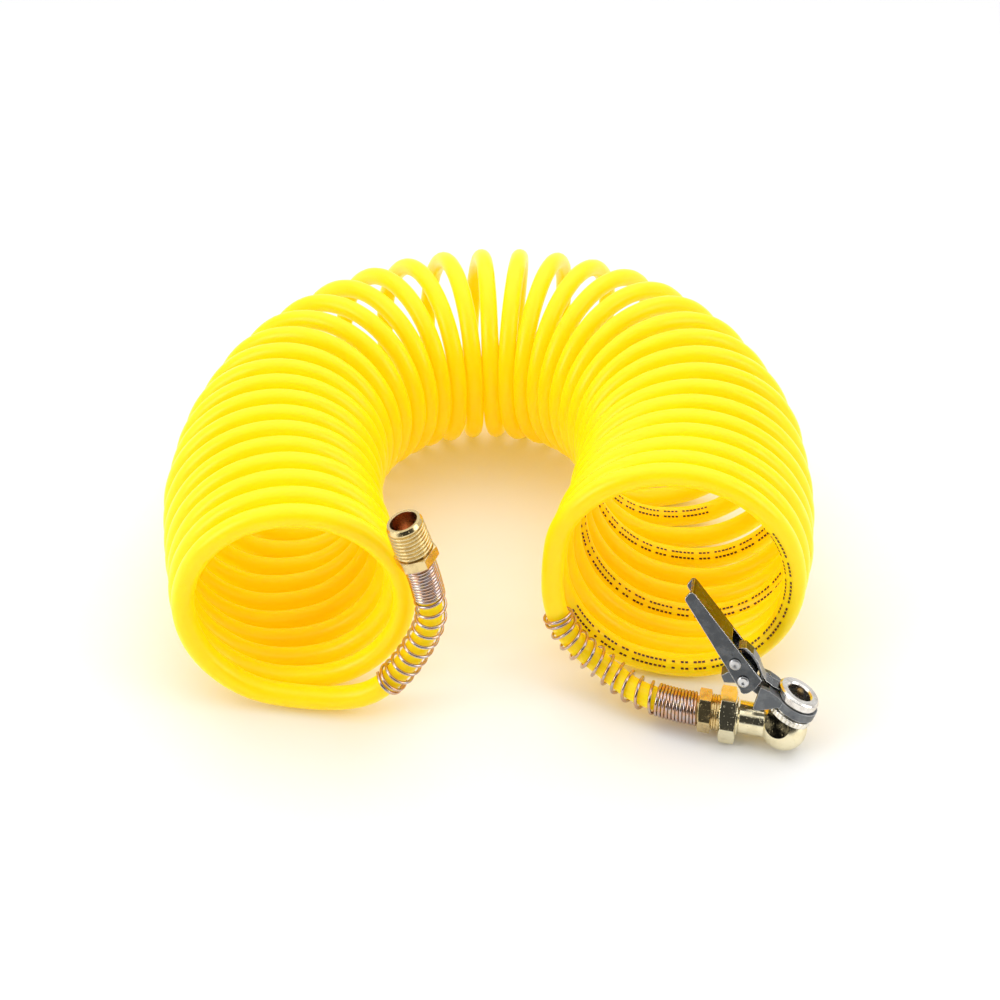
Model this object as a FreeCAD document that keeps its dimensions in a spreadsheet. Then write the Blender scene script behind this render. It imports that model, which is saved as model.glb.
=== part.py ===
import FreeCAD, Part
import math
import os
import Sketcher

# A recoil air hose: a coiled hose laid in a horseshoe, with a spring-guarded pipe fitting at
# one end and a clip-on ball-foot tyre chuck at the other. Millimetres, +Z up, the coil lies on z = 0.
V = FreeCAD.Vector
ROT = FreeCAD.Rotation
PLC = FreeCAD.Placement

doc = FreeCAD.newDocument("recoil_hose")
sheet = doc.addObject("Spreadsheet::Sheet", "Dims")
DIMS = [
    ("coil_od", 92.0, "outer diameter of the coil"),
    ("hose_od", 8.2, "outer diameter of the hose"),
    ("hose_id", 6.0, "bore of the hose"),
    ("path_x", 69.15, "x of the coil's axis at the chuck's end"),
    ("path_y", -91.03, "y of the coil's axis at the chuck's end"),
    ("path_heading", 69.06, "heading of the coil's axis there, in degrees"),
    ("arc1_r", 306.4, "radius of the coil's path, first arc from the chuck's end"),
    ("arc1_turn", 8.98, "how far that arc turns"),
    ("arc2_r", 139.0, "radius of the second arc"),
    ("arc2_turn", 21.44, "turn of the second arc"),
    ("arc3_r", 103.7, "radius of the third arc"),
    ("arc3_turn", 28.73, "turn of the third arc"),
    ("arc4_r", 77.4, "radius of the fourth arc, the tightest"),
    ("arc4_turn", 47.36, "turn of the fourth arc"),
    ("arc5_r", 81.8, "radius of the fifth arc"),
    ("arc5_turn", 58.84, "turn of the fifth arc"),
    ("arc6_r", 112.8, "radius of the sixth arc"),
    ("arc6_turn", 34.53, "turn of the sixth arc"),
    ("arc7_r", 167.8, "radius of the seventh arc"),
    ("arc7_turn", 17.76, "turn of the seventh arc"),
    ("arc8_r", 589.6, "radius of the eighth arc, at the inlet's end"),
    ("arc8_turn", 3.98, "turn of the eighth arc"),
    ("guard_in", 4.6, "inner radius of a spring guard"),
    ("guard_out", 5.8, "outer radius of a spring guard"),
    ("guard_pitch", 1.22, "pitch of a guard's close turns"),
    ("barb_r", 2.7, "radius of the stem inside the hose"),
    ("barb_len", 12.0, "length of the stem inside the hose"),
    ("ferrule_in", 4.2, "inner radius of a ferrule"),
    ("ferrule_out", 4.5, "outer radius of a ferrule"),
    ("inlet_af", 13.5, "inlet hex across flats"),
    ("inlet_hex", 4.0, "inlet hex height"),
    ("npt_r", 6.85, "crest radius of the pipe thread's first ring"),
    ("npt_pitch", 1.411, "pitch of a quarter inch taper pipe thread"),
    ("npt_crest", 0.45, "flat on each crest"),
    ("npt_depth", 0.85, "depth of the thread"),
    ("inlet_mouth", 4.9, "radius of the inlet's wide mouth"),
    ("bore_r", 2.0, "radius of the air passage in a fitting"),
    ("outlet_af", 12.7, "outlet hex across flats"),
    ("outlet_hex", 4.5, "outlet hex height"),
    ("collar_r", 6.0, "radius of the outlet's collar"),
    ("collar_len", 2.9, "length of the outlet's collar"),
    ("screw_r", 5.0, "radius of the outlet's screwed end"),
    ("hex_af", 16.5, "chuck hex across flats"),
    ("hex_len", 6.0, "chuck hex length"),
    ("neck_r", 5.5, "radius of the chuck's neck"),
    ("ball_r", 8.6, "radius of the chuck's ball"),
    ("ball_flat", 7.36, "distance of the ball's side flats from its centre"),
    ("nose_lean", 20.0, "how far the nose leans forward of square to the neck"),
    ("seat_t", 6.0, "height of the nose's seat above the ball's centre"),
    ("seat_top", 7.8, "height of the valve seat's top above the ball's centre"),
    ("nose_bore", 4.1, "radius of the mouth that takes a tyre valve"),
    ("nose_top", 14.6, "height of the nose's rim above the ball's centre"),
    ("nose_r", 7.3, "radius of the nose's rim"),
    ("stem_r", 5.75, "radius of the nose's stem"),
    ("ring_in", 6.05, "bore of the bracket's ring"),
    ("ring_out", 8.0, "outer radius of the bracket's ring"),
    ("nut_r", 7.8, "outer radius of the knurled nut"),
    ("lever_w", 10.4, "width of the lever's channel outside"),
    ("lever_in", 8.4, "width of the lever's channel inside"),
    ("arm_w", 5.6, "width of the bracket's arm"),
    ("rivet_r", 1.5, "radius of a rivet's shank"),
    ("run_r", 1.56, "radius of a hole that turns on a rivet"),
    ("strap_w", 5.0, "width of the jaw strap"),
    ("strap_t", 0.9, "thickness of the jaw strap"),
]
for row, (alias, value, note) in enumerate(DIMS, start=1):
    sheet.set("A%d" % row, alias)
    sheet.set("B%d" % row, repr(value))
    sheet.set("C%d" % row, note)
    sheet.setAlias("B%d" % row, alias)
doc.recompute()


def dim(alias):
    """A driving dimension as a plain number."""
    return float(getattr(sheet, alias))


def value_of(term):
    """The number that a term stands for: a number, or a formula of the sheet's names."""
    if isinstance(term, (int, float)):
        return float(term)
    total = 0.0
    for piece in term.split(" + "):
        product = 1.0
        for factor in piece.split(" * "):
            if factor.startswith("Dims."):
                product *= dim(factor[5:])
            else:
                product *= float(factor)
        total += product
    return total


def new_body(label):
    body = doc.addObject("PartDesign::Body", label)
    body.Label = label
    return body


def plane_of(body, role):
    for feature in body.Origin.OriginFeatures:
        if feature.Role == role:
            return feature
    raise LookupError(role)


def place_sketch(body, name, role, offset):
    sk = body.newObject("Sketcher::SketchObject", name)
    sk.AttachmentSupport = [(plane_of(body, role), "")]
    sk.MapMode = "FlatFace"
    if offset is not None:
        sk.AttachmentOffset = offset
    return sk


def pin_point(sk, geo, pos, x, y):
    """Fix one vertex from the sketch's origin, each way by its own dimension."""
    for kind, term, axis in (("DistanceX", x, -2), ("DistanceY", y, -1)):
        number = value_of(term)
        if abs(number) < 1e-9:
            sk.addConstraint(Sketcher.Constraint("PointOnObject", geo, pos, axis))
            continue
        index = sk.addConstraint(Sketcher.Constraint(kind, -1, 1, geo, pos, number))
        if not isinstance(term, (int, float)):
            sk.setExpression("Constraints[%d]" % index, term)


def polygon(body, name, role, points, offset=None):
    """A closed outline of straight lines through the given points."""
    sk = place_sketch(body, name, role, offset)
    xy = [(value_of(x), value_of(y)) for x, y in points]
    count = len(points)
    for i in range(count):
        a = xy[i]
        b = xy[(i + 1) % count]
        sk.addGeometry(Part.LineSegment(V(a[0], a[1], 0), V(b[0], b[1], 0)), False)
    for i in range(count):
        sk.addConstraint(Sketcher.Constraint("Coincident", i, 2, (i + 1) % count, 1))
    for i in range(count):
        pin_point(sk, i, 1, points[i][0], points[i][1])
    return sk


def circles(body, name, role, rings, offset=None):
    """Whole circles, each as (x, y, radius)."""
    sk = place_sketch(body, name, role, offset)
    for i, (x, y, r) in enumerate(rings):
        centre = V(value_of(x), value_of(y), 0)
        sk.addGeometry(Part.Circle(centre, V(0, 0, 1), value_of(r)), False)
        index = sk.addConstraint(Sketcher.Constraint("Radius", i, value_of(r)))
        if not isinstance(r, (int, float)):
            sk.setExpression("Constraints[%d]" % index, r)
        if abs(value_of(x)) < 1e-9 and abs(value_of(y)) < 1e-9:
            sk.addConstraint(Sketcher.Constraint("Coincident", i, 3, -1, 1))
        else:
            pin_point(sk, i, 3, x, y)
    return sk


def hexagon(body, name, role, flats, offset):
    """A regular hexagon with two flats square to the sketch's vertical."""
    points = []
    for k in range(6):
        a = math.radians(60.0 * k)
        x = flats + " * %.9f" % (math.cos(a) / math.sqrt(3.0))
        y = flats + " * %.9f" % (math.sin(a) / math.sqrt(3.0))
        points.append((x, y))
    return polygon(body, name, role, points, offset)


def turn(body, name, sk, axis="V_Axis", angle=360.0, cut=False):
    kind = "PartDesign::Groove" if cut else "PartDesign::Revolution"
    feature = body.newObject(kind, name)
    feature.Profile = sk
    feature.ReferenceAxis = (sk, [axis])
    if isinstance(angle, (int, float)):
        feature.Angle = angle
    else:
        feature.Angle = value_of(angle)
        feature.setExpression("Angle", angle)
    return feature


def extrude(body, name, sk, length, cut=False, middle=False, back=False):
    kind = "PartDesign::Pocket" if cut else "PartDesign::Pad"
    feature = body.newObject(kind, name)
    feature.Profile = sk
    feature.Type = 0
    feature.Length = value_of(length)
    if not isinstance(length, (int, float)):
        feature.setExpression("Length", length)
    feature.Midplane = middle
    feature.Reversed = back
    return feature


def free_shape(label, shape):
    feature = doc.addObject("Part::Feature", label)
    feature.Label = label
    feature.Shape = shape
    return feature


# The coil, as one fat tube of the coil's outer diameter whose wall is one hose thick. Its axis is
# eight arcs in plan, each turning left, from the chuck's end round to the inlet's end.
coil = new_body("hose_coil")
half = "Dims.coil_od * 0.5"
inside = "Dims.coil_od * 0.5 + Dims.hose_od * -1.0"
lift = dim("coil_od") / 2.0
ARCS = 8


def level(degrees):
    """A level unit vector at an angle from +X."""
    return V(math.cos(math.radians(degrees)), math.sin(math.radians(degrees)), 0)


here = V(dim("path_x"), dim("path_y"), 0)
facing = dim("path_heading") - 90.0
for k in range(1, ARCS + 1):
    radius = "Dims.arc%d_r" % k
    centre = here - level(facing) * value_of(radius)
    section = PLC(V(centre.x, lift, -centre.y), ROT(V(0, 1, 0), facing))
    sk = circles(coil, "coil_section_%d" % k, "XZ_Plane", [(radius, 0, half), (radius, 0, inside)], section)
    turn(coil, "coil_arc_%d" % k, sk, "V_Axis", "Dims.arc%d_turn" % k)
    facing += dim("arc%d_turn" % k)
    here = centre + level(facing) * value_of(radius)

# The two free stretches of hose, by the points of their routes.
INLET_ROUTE = [
    (-80.0, -96.4, 5.6), (-55.5, -105.4, 5.0), (-32.5, -110.6, 16.7),
    (-20.0, -110.3, 38.2), (-16.2, -110.5, 53.0), (-21.724, -110.5, 71.739),
]
CHUCK_ROUTE = [
    (28.1, -71.4, 64.0), (24.3, -81.1, 44.5), (28.0, -89.1, 24.1),
    (45.0, -94.8, 11.7), (59.4, -109.7, 9.0), (77.9, -114.0, 9.0),
]


def corner_radii(points):
    """The radius of the arc at each inner point of a route."""
    radii = []
    for i in range(1, len(points) - 1):
        a = points[i] - points[i - 1]
        b = points[i + 1] - points[i]
        half_turn = a.getAngle(b) / 2.0
        radii.append(0.45 * min(a.Length, b.Length) / math.tan(half_turn))
    return radii


def route_wire(points, radii):
    """Straight runs joined by tangent arcs."""
    edges = []
    here = points[0]
    for i, radius in enumerate(radii, start=1):
        a = (points[i] - points[i - 1]).normalize()
        b = (points[i + 1] - points[i]).normalize()
        half_turn = a.getAngle(b) / 2.0
        reach = radius * math.tan(half_turn)
        enter = points[i] - a * reach
        leave = points[i] + b * reach
        mid = points[i] + (b - a).normalize() * (radius / math.cos(half_turn) - radius)
        edges.append(Part.LineSegment(here, enter).toShape())
        edges.append(Part.Arc(enter, mid, leave).toShape())
        here = leave
    edges.append(Part.LineSegment(here, points[-1]).toShape())
    return Part.Wire(edges)


def tube(wire, outer, inner):
    """A round tube along a wire."""
    first = wire.Edges[0]
    start_point = first.valueAt(first.FirstParameter)
    along = first.tangentAt(first.FirstParameter)
    solids = []
    for radius in (outer, inner):
        ring = Part.Wire([Part.Circle(start_point, along, radius).toShape()])
        solids.append(wire.makePipeShell([ring], True, False))
    body = solids[0].cut(solids[1])
    wanted = math.pi * (outer ** 2 - inner ** 2) * wire.Length
    assert abs(body.Volume - wanted) < 0.02 * wanted, (body.Volume, wanted)
    return body


def unit(vector):
    return vector * (1.0 / vector.Length)


def bend_ring(ring, p, t, q):
    """Sweep a circle along the one arc that leaves p along t and reaches q."""
    chord = q - p
    axis = unit(t.cross(chord))
    side = axis.cross(t)
    centre = p + side * (chord.dot(chord) / (2.0 * chord.dot(side)))
    angle = math.degrees((p - centre).getAngle(q - centre))
    face = ring.revolve(centre, axis, angle)
    last = [e for e in face.Edges if isinstance(e.Curve, Part.Circle) and (e.Curve.Center - q).Length < 1e-5]
    return face, last[0], ROT(axis, angle).multVec(t)


def wire_along(points, tangents, wire_r, lead=0.0, tail=0.0):
    """Round wire through the points, two tangent arcs to each step, with straight ends if asked for."""
    here = points[0] - tangents[0] * lead
    heading = tangents[0]
    ring = Part.Circle(here, heading, wire_r).toShape()
    faces = [Part.Face(Part.Wire([ring]))]
    if lead:
        face = ring.extrude(heading * lead)
        faces.append(face)
        ring = [e for e in face.Edges if isinstance(e.Curve, Part.Circle)
                and (e.Curve.Center - points[0]).Length < 1e-6][0]
    here = points[0]
    for k in range(len(points) - 1):
        t0 = tangents[k]
        t1 = tangents[k + 1]
        across = points[k + 1] - points[k]
        both = across.dot(t0 + t1)
        spread = 2.0 * (1.0 - t0.dot(t1))
        reach = (-both + math.sqrt(both * both + spread * across.dot(across))) / spread
        joint = (points[k] + points[k + 1] + (t0 - t1) * reach) * 0.5
        for stop in (joint, points[k + 1]):
            face, ring, heading = bend_ring(ring, here, heading, stop)
            faces.append(face)
            here = stop
    if tail:
        face = ring.extrude(heading * tail)
        faces.append(face)
        end = here + heading * tail
        ring = [e for e in face.Edges if isinstance(e.Curve, Part.Circle)
                and (e.Curve.Center - end).Length < 1e-6][0]
    faces.append(Part.Face(Part.Wire([ring])))
    skin = Part.Compound(faces)
    skin.sewShape()
    solid = Part.Solid(skin.Shells[0])
    if solid.Volume < 0:
        solid.reverse()
    return solid


def coil_spring(mean, wire_r, pitch, turns, low, lead=0.0, tail=0.0):
    """A round-wire helical spring that stands on z = low."""
    points = []
    tangents = []
    for k in range(int(turns * 4) + 1):
        a = math.pi * 0.5 * k
        points.append(V(mean * math.cos(a), mean * math.sin(a), low + wire_r + pitch * k / 4.0))
        tangents.append(unit(V(-mean * math.sin(a), mean * math.cos(a), pitch / (2.0 * math.pi))))
    return wire_along(points, tangents, wire_r, lead, tail)


def frames_back(points, radii):
    """The route's pieces from its last point back to its first, each with the frame it starts from."""
    pieces = []
    back = points[::-1]
    here = back[0]
    t = unit(back[1] - back[0])
    across = unit(t.cross(V(0, 1, 0)))
    for i, radius in enumerate(radii[::-1], start=1):
        a = unit(back[i] - back[i - 1])
        b = unit(back[i + 1] - back[i])
        turn_angle = a.getAngle(b)
        enter = back[i] - a * (radius * math.tan(turn_angle / 2.0))
        run = (enter - here).Length
        pieces.append((run, here, t, across, None, 0.0))
        axis = unit(a.cross(b))
        pieces.append((radius * turn_angle, enter, t, across, axis, radius))
        turned = ROT(axis, math.degrees(turn_angle))
        here = back[i] + b * (radius * math.tan(turn_angle / 2.0))
        t = b
        across = turned.multVec(across)
    pieces.append(((back[-1] - here).Length, here, t, across, None, 0.0))
    return pieces


def frame_at(pieces, s):
    """Point, direction and the two cross directions at a distance along the pieces."""
    for i, (length, here, t, across, axis, radius) in enumerate(pieces):
        if s <= length or i == len(pieces) - 1:
            if axis is None:
                return here + t * s, t, across, t.cross(across)
            turned = ROT(axis, math.degrees(s / radius))
            centre = here + axis.cross(t) * radius
            t_now = turned.multVec(t)
            across_now = turned.multVec(across)
            return centre + turned.multVec(here - centre), t_now, across_now, t_now.cross(across_now)
        s -= length
    raise ValueError(s)


def guard(pieces, close_turns, open_turns, open_pitch, end_turns):
    """A spring guard: close wound at the fitting, open along the bend, closing again at its free end."""
    mean = (dim("guard_in") + dim("guard_out")) / 2.0
    wire_r = (dim("guard_out") - dim("guard_in")) / 2.0

    def point(turns):
        s = wire_r + 0.02 + dim("guard_pitch") * min(turns, close_turns)
        s += open_pitch * min(max(turns - close_turns, 0.0), open_turns)
        s += 2.0 * max(turns - close_turns - open_turns, 0.0)
        centre, _, e1, e2 = frame_at(pieces, s)
        a = 2.0 * math.pi * turns
        return centre + e1 * (mean * math.cos(a)) + e2 * (mean * math.sin(a))

    total = close_turns + open_turns + end_turns
    points = []
    tangents = []
    for k in range(int(total * 4) + 1):
        points.append(point(k / 4.0))
        tangents.append(unit(point(k / 4.0 + 0.002) - point(max(k / 4.0 - 0.002, 0.0))))
    return wire_along(points, tangents, wire_r)


for label, route, open_turns, open_pitch in (
        ("inlet", INLET_ROUTE, 9.5, 4.3), ("chuck", CHUCK_ROUTE, 10.5, 4.1)):
    points = [V(*p) for p in route]
    radii = corner_radii(points)
    print("hose_tail_" + label, "arc radii", [round(r, 1) for r in radii])
    wire = route_wire(points, radii)
    free_shape("hose_tail_" + label, tube(wire, dim("hose_od") / 2.0, dim("hose_id") / 2.0))
    pieces = frames_back(points, radii)
    free_shape("spring_guard_" + label, guard(pieces, 12.0, open_turns, open_pitch, 1.5))

# Where the two fittings stand. A fitting's own +Z, or the chuck's own +X, points away from the hose.
inlet_axis = (V(*INLET_ROUTE[-1]) - V(*INLET_ROUTE[-2])).normalize()
inlet_place = PLC(V(*INLET_ROUTE[-1]), ROT(V(0, 0, 1), inlet_axis))
chuck_axis = (V(*CHUCK_ROUTE[-1]) - V(*CHUCK_ROUTE[-2])).normalize()
chuck_yaw = math.degrees(math.atan2(chuck_axis.y, chuck_axis.x))
HOSE_END = -29.6
ball_centre = V(*CHUCK_ROUTE[-1]) - chuck_axis * HOSE_END
chuck_place = PLC(ball_centre, ROT(V(0, 0, 1), chuck_yaw) * ROT(V(1, 0, 0), -10.0))
nose_place = chuck_place * PLC(V(0, 0, 0), ROT(V(0, 1, 0), dim("nose_lean")))

# Inlet fitting: hex, tapered pipe thread, wide mouth and a stem inside the hose.
inlet = new_body("inlet_fitting")
extrude(inlet, "inlet_hex_pad", hexagon(inlet, "inlet_hex_outline", "XY_Plane", "Dims.inlet_af", None),
        "Dims.inlet_hex")
for name, z0, z1 in (("inlet_hex_bevel_low", 0.0, 0.8),
                     ("inlet_hex_bevel_high", "Dims.inlet_hex", "Dims.inlet_hex + -1.0")):
    sk = polygon(inlet, name + "_outline", "XZ_Plane",
                 [("Dims.inlet_af * 0.5", z0), ("Dims.inlet_af * 0.7", z0), ("Dims.inlet_af * 0.7", z1)])
    turn(inlet, name, sk, cut=True)
rings = 8
points = [(0, "Dims.inlet_hex + -1.0"), ("Dims.npt_r + -1.2", "Dims.inlet_hex + -1.0"),
          ("Dims.npt_r + -1.2", "Dims.inlet_hex + 0.5")]
for k in range(rings):
    crest = "Dims.npt_r + Dims.npt_pitch * %.6f" % (-k / 32.0)
    low = "Dims.inlet_hex + 1.0 + Dims.npt_pitch * %d" % k
    points.append((crest, low))
    points.append((crest, low + " + Dims.npt_crest"))
    points.append((crest + " + Dims.npt_depth * -1.0",
                   low + " + Dims.npt_crest * 0.5 + Dims.npt_pitch * 0.5"))
tip = "Dims.inlet_hex + 1.4 + Dims.npt_pitch * %d" % rings
points[-1] = ("Dims.npt_r + -0.95", tip)
points.append((0, tip))
turn(inlet, "inlet_thread", polygon(inlet, "inlet_thread_outline", "XZ_Plane", points))
sk = polygon(inlet, "inlet_stem_outline", "XZ_Plane",
             [(0, "Dims.barb_len * -1.0"), ("Dims.barb_r + -0.5", "Dims.barb_len * -1.0"),
              ("Dims.barb_r", "Dims.barb_len * -1.0 + 1.0"), ("Dims.barb_r", 0.5), (0, 0.5)])
turn(inlet, "inlet_stem", sk)
sk = polygon(inlet, "inlet_bore_outline", "XZ_Plane",
             [(0, -13.0), ("Dims.bore_r", -13.0), ("Dims.bore_r", 3.0), ("Dims.inlet_mouth", 5.5),
              ("Dims.inlet_mouth", 20.0), (0, 20.0)])
turn(inlet, "inlet_bore", sk, cut=True)

ferrule_in = new_body("inlet_ferrule")
sk = circles(ferrule_in, "inlet_ferrule_rings", "XY_Plane",
             [(0, 0, "Dims.ferrule_out"), (0, 0, "Dims.ferrule_in")])
extrude(ferrule_in, "inlet_ferrule_pad", sk, 11.0, back=True)

# Outlet fitting: hex, collar and screwed end, on the chuck's axis.
outlet = new_body("outlet_fitting")
sk = hexagon(outlet, "outlet_hex_outline", "YZ_Plane", "Dims.outlet_af", PLC(V(0, 0, HOSE_END), ROT()))
extrude(outlet, "outlet_hex_pad", sk, "Dims.outlet_hex")
for name, x0, x1 in (("outlet_bevel_low", HOSE_END, HOSE_END + 0.8),
                     ("outlet_bevel_high", HOSE_END + 4.5, HOSE_END + 3.7)):
    sk = polygon(outlet, name + "_outline", "XZ_Plane",
                 [(x0, "Dims.outlet_af * 0.5"), (x0, "Dims.outlet_af * 0.7"), (x1, "Dims.outlet_af * 0.7")])
    turn(outlet, name, sk, "H_Axis", cut=True)
face = HOSE_END + 4.5
hex_left = face + dim("collar_len")
points = [(face - 1.0, 0), (face - 1.0, "Dims.collar_r + -0.5"), (face + 0.2, "Dims.collar_r + -0.5")]
for k in range(3):
    points.append((face + 0.35 + 0.85 * k, "Dims.collar_r"))
    points.append((face + 0.8 + 0.85 * k, "Dims.collar_r"))
    points.append((face + 0.95 + 0.85 * k, "Dims.collar_r + -0.5"))
points[-1] = (hex_left, "Dims.collar_r")
points += [(hex_left, "Dims.screw_r"), (hex_left + 6.0, "Dims.screw_r"), (hex_left + 6.0, 0)]
turn(outlet, "outlet_screw", polygon(outlet, "outlet_screw_outline", "XZ_Plane", points), "H_Axis")
sk = polygon(outlet, "outlet_stem_outline", "XZ_Plane",
             [(HOSE_END - 12.0, 0), (HOSE_END - 12.0, "Dims.barb_r + -0.5"), (HOSE_END - 11.0, "Dims.barb_r"),
              (HOSE_END + 0.5, "Dims.barb_r"), (HOSE_END + 0.5, 0)])
turn(outlet, "outlet_stem", sk, "H_Axis")
sk = polygon(outlet, "outlet_bore_outline", "XZ_Plane",
             [(HOSE_END - 13.0, 0), (HOSE_END - 13.0, "Dims.bore_r"), (0, "Dims.bore_r"), (0, 0)])
turn(outlet, "outlet_bore", sk, "H_Axis", cut=True)

ferrule_out = new_body("outlet_ferrule")
sk = circles(ferrule_out, "outlet_ferrule_rings", "YZ_Plane",
             [(0, 0, "Dims.ferrule_out"), (0, 0, "Dims.ferrule_in")], PLC(V(0, 0, HOSE_END), ROT()))
extrude(ferrule_out, "outlet_ferrule_pad", sk, 11.0, back=True)

# Chuck body: hex, neck and ball in one forging.
chuck = new_body("chuck_body")
sk = hexagon(chuck, "chuck_hex_outline", "YZ_Plane", "Dims.hex_af", PLC(V(0, 0, hex_left), ROT()))
extrude(chuck, "chuck_hex", sk, "Dims.hex_len")
for name, x0, x1 in (("chuck_bevel_low", hex_left, hex_left + 1.3),
                     ("chuck_bevel_high", hex_left + 6.0, hex_left + 4.5)):
    sk = polygon(chuck, name + "_outline", "XZ_Plane",
                 [(x0, "Dims.hex_af * 0.485"), (x0, "Dims.hex_af * 0.7"), (x1, "Dims.hex_af * 0.7")])
    turn(chuck, name, sk, "H_Axis", cut=True)
sk = polygon(chuck, "chuck_neck_outline", "XZ_Plane",
             [(hex_left + 5.0, 0), (hex_left + 5.0, "Dims.neck_r + 0.9"), (hex_left + 6.4, "Dims.neck_r + 0.9"),
              (hex_left + 7.1, "Dims.neck_r"), (-6.4, "Dims.neck_r"), (-5.0, 0)])
turn(chuck, "chuck_neck", sk, "H_Axis")
ball = chuck.newObject("PartDesign::AdditiveSphere", "chuck_ball")
ball.Radius = dim("ball_r")
ball.setExpression("Radius", "Dims.ball_r")
doc.recompute()
for name, side in (("chuck_flat_near", -1.0), ("chuck_flat_far", 1.0)):
    out = V(-0.28, 0.83 * side, 0.48).normalize()
    block = chuck.newObject("PartDesign::SubtractiveBox", name)
    block.Length = 12.0
    block.Width = 12.0
    block.Height = 4.0
    turned = ROT(V(0, 0, 1), out)
    block.AttachmentSupport = [(plane_of(chuck, "XY_Plane"), "")]
    block.MapMode = "FlatFace"
    block.AttachmentOffset = PLC(out * dim("ball_flat") - turned.multVec(V(6, 6, 0)), turned)
lean = ROT(V(0, 1, 0), dim("nose_lean"))
top_face = circles(chuck, "chuck_seat_circle", "XY_Plane", [(0, 0, 12.0)],
                   PLC(lean.multVec(V(0, 0, dim("seat_t"))), lean))
extrude(chuck, "chuck_seat", top_face, 6.0, cut=True, back=True)
socket = circles(chuck, "chuck_socket_circle", "XY_Plane", [(0, 0, 4.6)],
                 PLC(lean.multVec(V(0, 0, 1.4)), lean))
extrude(chuck, "chuck_socket", socket, 6.0, cut=True, back=True)
sk = polygon(chuck, "chuck_bore_outline", "XZ_Plane",
             [(hex_left - 1.0, 0), (hex_left - 1.0, "Dims.screw_r + 0.3"), (hex_left + 6.4, "Dims.screw_r + 0.3"),
              (hex_left + 7.6, 2.0), (0.0001, 2.0), (0.0001, 0)])
turn(chuck, "chuck_bore", sk, "H_Axis", cut=True)

# Knurled nut under the clip, with straight serrations round its rim.
nut = new_body("knurled_nut")
sk = polygon(nut, "nut_outline", "XZ_Plane",
             [("Dims.ring_in", 6.3), (7.15, 4.9), ("Dims.nut_r + -0.35", 4.9), ("Dims.nut_r", 5.2),
              ("Dims.nut_r", 6.8), ("Dims.nut_r + -0.3", 7.1), (6.6, 7.1), (6.6, 8.2), ("Dims.ring_in", 8.2)])
turn(nut, "nut_ring", sk)
sk = polygon(nut, "nut_notch_outline", "XY_Plane",
             [("Dims.nut_r + -0.45", 0), ("Dims.nut_r + 0.3", 0.5), ("Dims.nut_r + 0.3", -0.5)],
             PLC(V(0, 0, 4.5), ROT()))
notch = extrude(nut, "nut_notch", sk, 3.0, cut=True, back=True)
teeth = nut.newObject("PartDesign::PolarPattern", "nut_knurl")
teeth.Originals = [notch]
teeth.Axis = (sk, ["N_Axis"])
teeth.Angle = 360.0
teeth.Occurrences = 32
nut.Tip = teeth

# Valve seat: the brass insert in the ball, with the plunger and its spring inside.
seat = new_body("valve_seat")
sk = polygon(seat, "seat_outline", "XZ_Plane",
             [(1.3, 2.0), (4.3, 2.0), (4.3, "Dims.seat_t"), ("Dims.stem_r", "Dims.seat_t"),
              ("Dims.stem_r", "Dims.seat_top"), (2.3, "Dims.seat_top"), (2.3, 2.4), (1.3, 2.4)])
turn(seat, "seat_turned", sk)

# Nose: rim and stem through the bracket's ring, bored for a tyre valve.
nose = new_body("nose_ring")
sk = polygon(nose, "nose_outline", "XZ_Plane",
             [("Dims.stem_r", "Dims.seat_top"), ("Dims.stem_r", 11.3), ("Dims.nose_r + -0.3", 11.3),
              ("Dims.nose_r", 11.6), ("Dims.nose_r", "Dims.nose_top + -0.6"),
              ("Dims.nose_r + -0.6", "Dims.nose_top"), (4.7, "Dims.nose_top"),
              ("Dims.nose_bore", "Dims.nose_top + -0.6"), ("Dims.nose_bore", 11.0),
              (4.4, 10.6), (4.4, "Dims.seat_top")])
turn(nose, "nose_turned", sk)
# the gate on the lever's side, where the jaw comes through the rim
sk = polygon(nose, "nose_gate_outline", "XZ_Plane",
             [(-8.0, 11.75), (-3.0, 11.75), (-3.0, 13.7), (-8.0, 13.7)])
extrude(nose, "nose_gate", sk, 6.0, cut=True, middle=True)

gasket = new_body("valve_gasket")
sk = circles(gasket, "gasket_rings", "XY_Plane", [(0, 0, 4.0), (0, 0, 1.6)],
             PLC(V(0, 0, dim("seat_top")), ROT()))
extrude(gasket, "gasket_pad", sk, 1.2)

plunger = new_body("valve_plunger")
sk = polygon(plunger, "plunger_outline", "XZ_Plane",
             [(0, 4.2), (0.8, 4.2), (1.0, 4.4), (1.0, 6.2), (2.0, 6.2), (2.0, 7.1), (1.0, 7.1), (1.0, 10.4),
              (0.8, 10.6), (0, 10.6)])
turn(plunger, "plunger_turned", sk)

seal = new_body("plunger_seal")
sk = circles(seal, "seal_rings", "XY_Plane", [(0, 0, 2.0), (0, 0, 1.2)], PLC(V(0, 0, 7.1), ROT()))
extrude(seal, "seal_pad", sk, 0.5)

free_shape("plunger_spring", coil_spring(1.6, 0.22, 0.82, 4.0, 2.42))

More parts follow.
